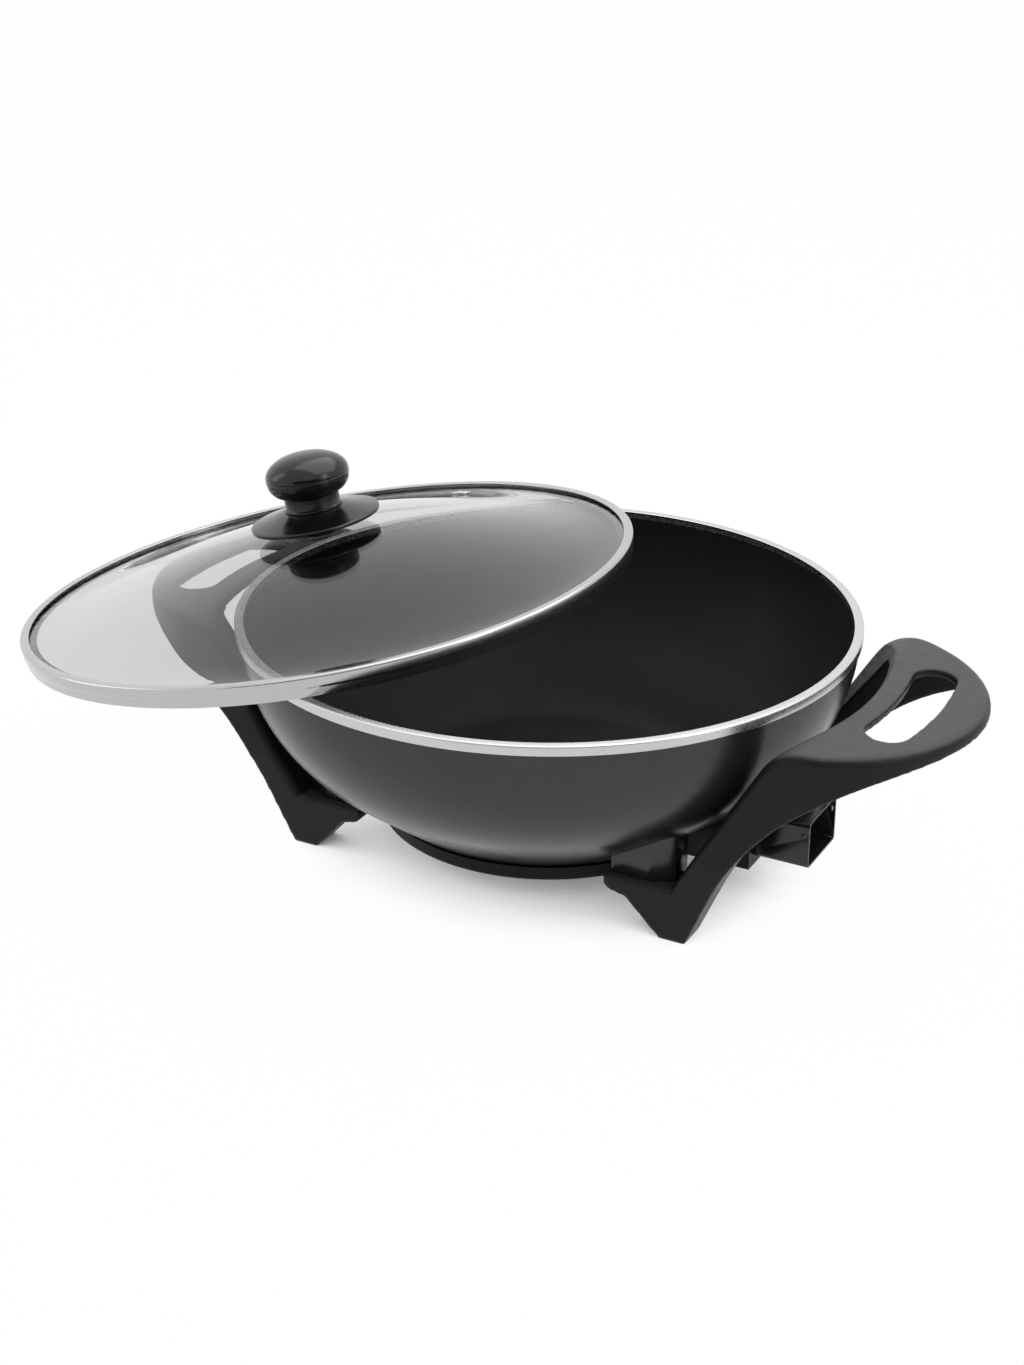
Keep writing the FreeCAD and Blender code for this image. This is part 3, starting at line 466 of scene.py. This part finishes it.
def makeGlass(steps=36):
    s = lidSizes
    radii = [s["bore"]] + [s["domeStart"] * i / steps for i in range(1, steps + 1)]
    under = [(r, glassUnder(r)) for r in radii]
    thick = s["glassThick"]
    corners = [(r, h, 0) for r, h in under]
    corners += [(s["glassEdge"], s["skirtHeight"], 0.8), (s["glassEdge"], s["skirtHeight"] + thick, 0.8)]
    corners += [(r, h + thick, 0) for r, h in reversed(under)]
    return spun(rounded(corners), 256, closed=True)


# the grommet of the steam vent, and its hole through the glass
ventSizes = {"out": 152.0, "turn": 264.0, "bore": 3.5, "sleeve": 4.3, "flange": 6.5, "flangeHeight": 1.2,
             "air": 0.3, "drill": 20.0}


def ventPlace():
    s = ventSizes
    slope = math.atan((glassUnder(s["out"] - 1) - glassUnder(s["out"] + 1)) / 2)
    return (lidPlace @ Matrix.Rotation(math.radians(s["turn"]), 4, "Z")
            @ Matrix.Translation((s["out"], 0, glassUnder(s["out"]))) @ Matrix.Rotation(slope, 4, "Y"))


def makeVent():
    s = ventSizes
    thick = lidSizes["glassThick"]
    low, high = -s["flangeHeight"] - s["air"], thick + s["air"] + s["flangeHeight"]
    corners = [(s["bore"], low, 0.3), (s["flange"], low, 0.4), (s["flange"], -s["air"], 0.3),
               (s["sleeve"], -s["air"], 0.1), (s["sleeve"], thick + s["air"], 0.1),
               (s["flange"], thick + s["air"], 0.3), (s["flange"], high, 0.5), (s["bore"], high, 0.4)]
    return place(spun(rounded(corners, True), 48, closed=True), ventPlace())


def drilled(piece):
    # the vent's hole, cut through the glass
    s = ventSizes
    shape = bmesh.new()
    bore = s["sleeve"] + s["air"]
    bmesh.ops.create_cone(shape, cap_ends=True, segments=48, radius1=bore, radius2=bore, depth=s["drill"])
    mesh = bpy.data.meshes.new("drill")
    place(shape, ventPlace()).to_mesh(mesh)
    shape.free()
    drill = bpy.data.objects.new("drill", mesh)
    scene.collection.objects.link(drill)
    cut = piece.modifiers.new("ventHole", "BOOLEAN")
    cut.operation, cut.solver, cut.object = "DIFFERENCE", "EXACT", drill
    baked(piece)
    bpy.data.objects.remove(drill)


build("lidBand", place(makeBand(), lidPlace), [finishes["stainless"]], "lid", ["lid_band"])
glass = build("lidGlass", place(makeGlass(), lidPlace), [finishes["clear_glass"]], "lid",
              ["lid_glass"])
drilled(glass)
build("steamVent", makeVent(), [finishes["stainless"]], "lid", ["steam_vent"])

# the knob's head is two quarter ovals that meet in a crease
knobSizes = {"low": 54.0, "collar": 17.4, "collarSide": 1.2, "collarHeight": 2.0, "neck": 16.5,
             "neckTop": 63.1, "head": 25.0, "wide": 74.1, "top": 87.5, "crease": 0.5,
             "creaseSteps": (-0.7, -0.3, 0.1, 0.5), "capLow": 74.7, "capPower": 0.9}


def makeKnob():
    s = knobSizes
    low, wide, inner = s["low"], s["wide"], s["head"] - s["crease"]
    corners = [(0, low, 0), (s["collar"], low, 0.4), (s["collar"], low + s["collarSide"], 0.3),
               (s["neck"], low + s["collarHeight"], 0.4), (s["neck"], s["neckTop"], 1.2)]
    for a in map(math.radians, range(12, 86, 8)):
        corners.append((s["neck"] + (s["head"] - s["neck"]) * math.sin(a),
                        wide - (wide - s["neckTop"]) * math.cos(a), 0))
    lip, floor, roof, brow = (wide + step for step in s["creaseSteps"])
    corners += [(s["head"], lip, 0.3), (inner, floor, 0.15), (inner, roof, 0.15), (s["head"], brow, 0.3)]
    for a in map(math.radians, range(6, 90, 6)):
        corners.append((s["head"] * math.cos(a) ** s["capPower"],
                        s["capLow"] + (s["top"] - s["capLow"]) * math.sin(a), 0))
    return spun(rounded(corners + [(0, s["top"], 0)], steps=6), 128)


build("knob", place(makeKnob(), lidPlace), [finishes["knob_plastic"]], "lid", ["lid_knob"])


# the oval plate: each ring faces the same ways, so the slope between two of them stays fair
plateSizes = {"halfLong": 41.0, "halfWide": 37.0, "tip": 27.0, "low": 46.6, "edge": 2.0, "top": 54.0,
              "land": 18.0, "bore": 4.0, "foot": 15.0, "footLow": 42.5, "turn": 72.0, "soft": 0.45,
              "softArc": 0.3, "slopeFrom": 0.03, "slopeSpan": 0.94, "slopePower": 1.12, "steps": 120}


def plateRing(shape, share, inset, z):
    # share 0 is the oval's outline and 1 the round land
    s = plateSizes
    tipOut = s["halfLong"] - s["tip"]
    side = (tipOut ** 2 + s["halfWide"] ** 2 - s["tip"] ** 2) / (2 * (s["halfWide"] - s["tip"]))
    back = side - s["halfWide"]
    turn = math.asin(back / (side - s["tip"]))
    ring = bmesh.ops.create_circle(shape, segments=s["steps"], radius=1.0)["verts"]
    for vert in ring:
        facing = Vector(vert.co)
        steep = math.atan2(abs(facing.y), abs(facing.x))
        if steep < turn:
            at = Vector((math.copysign(tipOut, facing.x), 0, 0)) + facing * s["tip"]
        else:
            at = Vector((0, -math.copysign(back, facing.y), 0)) + facing * side
        vert.co = (at - facing * inset).lerp(facing * s["land"], share) + Vector((0, 0, z))
    return list({e for v in ring for e in v.link_edges})


def circleRing(shape, radius, z):
    ring = bmesh.ops.create_circle(shape, segments=plateSizes["steps"], radius=radius)["verts"]
    bmesh.ops.translate(shape, vec=(0, 0, z), verts=ring)
    return list({e for v in ring for e in v.link_edges})


def makePlate(slopes=10):
    s = plateSizes
    shape = bmesh.new()
    low, foot, soft = s["low"], s["foot"], s["soft"]
    edgeTop = low + s["edge"]
    arc = soft * s["softArc"]
    rings = [circleRing(shape, radius, z) for radius, z in (
        (s["bore"], s["footLow"]), (foot - soft, s["footLow"]), (foot, s["footLow"] + soft),
        (foot, low - soft / 2), (foot + soft, low))]
    rings += [plateRing(shape, 0, inset, z) for inset, z in (
        (soft, low), (arc, low + arc), (0, low + soft), (0, edgeTop - soft), (arc, edgeTop - arc))]
    for i in range(slopes + 1):
        share = s["slopeFrom"] + s["slopeSpan"] * i / slopes
        rings.append(plateRing(shape, share, 0, edgeTop + (s["top"] - edgeTop) * share ** s["slopePower"]))
    rings += [circleRing(shape, s["land"] - soft, s["top"]), circleRing(shape, s["bore"], s["top"])]
    for first, second in zip(rings, rings[1:] + rings[:1]):
        bmesh.ops.bridge_loops(shape, edges=first + second)
    return place(shape, lidPlace @ Matrix.Rotation(math.radians(s["turn"]), 4, "Z"))


build("knobPlate", makePlate(), [finishes["knob_plastic"]], "lid", ["knob_base"], crease=30)


# sheet and cast pieces under the bowl: the CAD flats with their edges broken
def broken(shape, width, angle=35, segments=2):
    sharp = [e for e in shape.edges if len(e.link_faces) == 2 and e.calc_face_angle(0) > math.radians(angle)]
    bmesh.ops.bevel(shape, geom=sharp, offset=width * mm, offset_type="OFFSET", affect="EDGES",
                    segments=segments, profile=0.5, material=-1, clamp_overlap=True)
    return shape


lugSizes = {"low": 33.0, "front": 82.5, "corner": 111.0, "lean": 8.0, "draft": 1.2, "edge": 0.7,
            "near": 0.3, "sharp": 25}


def makeLugs():
    # cast lugs: the front face leans in and its corner runs back towards the bottom
    s = lugSizes
    shape = flats(copied("mounting_lugs"))
    for vert in shape.verts:
        x, y, z = (vert.co - wokAxis) / mm
        if abs(z - s["low"]) < s["near"] and abs(y) > s["front"] - s["near"]:
            vert.co.y -= math.copysign(s["draft"], y) * mm
            if abs(abs(x) - s["corner"]) < s["near"]:
                vert.co.x -= math.copysign(s["lean"], x) * mm
    return broken(shape, s["edge"], s["sharp"])


build("castLugs", makeLugs(), [coats["outside"]], "wok", ["mounting_lugs"], crease=30)
inletSizes = {"blockEdge": 0.5, "guardEdge": 0.25, "studEdge": 0.25, "mouth": 19.9}


def makeStuds():
    # bright inside the mouth, enamelled over with the guard outside it
    s = inletSizes
    shape = broken(flats(copied("guard_studs")), s["studEdge"])
    for face in shape.faces:
        face.material_index = abs((face.calc_center_median().y - wokAxis.y) / mm) > s["mouth"]
    return shape


build("terminalBlock", broken(flats(copied("terminal_block")), inletSizes["blockEdge"]),
      [finishes["cast_bowl"]], "wok", ["terminal_block"], crease=30)
build("guardStuds", makeStuds(), [finishes["stainless"], finishes["black_sheet"]], "wok",
      ["guard_studs"], crease=30)
build("inletGuard", broken(flats(copied("inlet_guard")), inletSizes["guardEdge"]),
      [finishes["black_sheet"]], "wok", ["inlet_guard"], crease=30)


# every other CAD piece keeps its own mesh and takes its finish
for name, piece in cad.items():
    for socket in piece.material_slots:
        key = socket.material.name.split(".")[0]
        socket.material = coats["shield"] if name == "heat_shield" else finishes[key]
print("carried over:", sum(not o.hide_render for o in cad.values()), "CAD pieces")


# table, light and camera

lights = {"room": 0.7, "table": (16.0, 16.0), "tableShade": 0.82, "tableGlow": 0.985, "shadeReach": 0.075,
          "openAt": 0.45,
          "overhead": ((0.15, 0.45, 1.5), (2.2, 1.6), 18.0),
          "leftPanel": ((-1.6, -0.5, 0.8), (0.5, 1.2), 3.0),
          "rightPanel": ((1.5, -0.2, 0.9), (0.3, 0.9), 3.5),
          "card": ((0.85, -1.55, 0.42), (2.8, 0.8)), "aim": (0, 0, 0.1)}


def seenRays(paint):
    # 1 for camera, mirror and glass rays, 0 for the rays that carry light
    path = paint.add("ShaderNodeLightPath").socket.node
    seen = Line(paint, path.outputs["Is Camera Ray"])
    for kind in ("Is Glossy Ray", "Is Transmission Ray"):
        seen = seen.join("MAXIMUM", seen, Line(paint, path.outputs[kind]))
    return seen


def makeSheet(name, size):
    # a flat sheet of the studio, so many metres wide and deep
    shape = bmesh.new()
    bmesh.ops.create_grid(shape, x_segments=1, y_segments=1, size=0.5)
    bmesh.ops.scale(shape, vec=(size[0], size[1], 1), verts=shape.verts)
    mesh = bpy.data.meshes.new(name)
    shape.to_mesh(mesh)
    shape.free()
    sheet = bpy.data.objects.new(name, mesh)
    scene.collection.objects.link(sheet)
    return sheet


def makeTable():
    table = makeSheet("tableTop", lights["table"])
    paint = Paint("tableWhite", Roughness=0.9, Specular_IOR_Level=0.1)
    paint.set("Base Color", grey(lights["tableShade"]))
    near = paint.add("ShaderNodeAmbientOcclusion", {"samples": 8}, {"Distance": lights["shadeReach"]}, "AO")
    glow = paint.ease(near, 0.0, lights["openAt"], 0.0, lights["tableGlow"])
    paint.blend(seenRays(paint) * glow, paint.add("ShaderNodeEmission"))
    table.data.materials.append(paint.material)


def makeCard():
    # a black card that only mirrors see
    spot, size = lights["card"]
    card = makeSheet("blackCard", size)
    card.data.materials.append(Paint("cardBlack", Base_Color=grey(0.01), Roughness=0.9).material)
    card.location = spot
    card.rotation_euler = Vector((spot[0], spot[1], 0)).to_track_quat("Z", "Y").to_euler()
    card.visible_camera = card.visible_diffuse = card.visible_shadow = card.visible_transmission = False


def makeLamp(name):
    spot, size, power = lights[name]
    data = bpy.data.lights.new(name, "AREA")
    data.shape, data.size, data.size_y, data.energy = "RECTANGLE", size[0], size[1], power
    lamp = bpy.data.objects.new(name, data)
    lamp.location = spot
    lamp.rotation_euler = (Vector(lights["aim"]) - Vector(spot)).to_track_quat("-Z", "Y").to_euler()
    scene.collection.objects.link(lamp)


makeTable()
makeCard()
for lampName in ("overhead", "leftPanel", "rightPanel"):
    makeLamp(lampName)

room = bpy.data.worlds.new("room")
scene.world = room
room.use_nodes = True
air = room.node_tree.nodes["Background"]
air.inputs["Color"].default_value = grey(1.0)
sky = Board(room.node_tree)
sky.feed(air.inputs["Strength"], lights["room"] + seenRays(sky) * (1 - lights["room"]))

# where the camera stands from the bowl's axis, in millimetres and degrees
viewpoint = {"azimuth": 28.42, "elevation": 24.30, "roll": -0.06, "right": 21.4, "up": -89.2,
             "distance": 1359.6, "lens": 59.48}


def makeCamera():
    v = viewpoint
    turn, lift = math.radians(v["azimuth"]), math.radians(v["elevation"])
    back = Vector((math.sin(turn) * math.cos(lift), -math.cos(turn) * math.cos(lift), math.sin(lift)))
    right = Vector((math.cos(turn), math.sin(turn), 0))
    up = back.cross(right)
    spot = wokAxis + (back * v["distance"] - right * v["right"] - up * v["up"]) * mm
    data = bpy.data.cameras.new("camera")
    data.sensor_width, data.lens = 36, v["lens"]
    camera = bpy.data.objects.new("camera", data)
    facing = Matrix((right, up, back)).transposed().to_4x4()
    camera.matrix_world = Matrix.Translation(spot) @ facing @ Matrix.Rotation(math.radians(v["roll"]), 4, "Z")
    scene.collection.objects.link(camera)
    scene.camera = camera


makeCamera()
scene.view_settings.view_transform = "Standard"

print("stage ready")
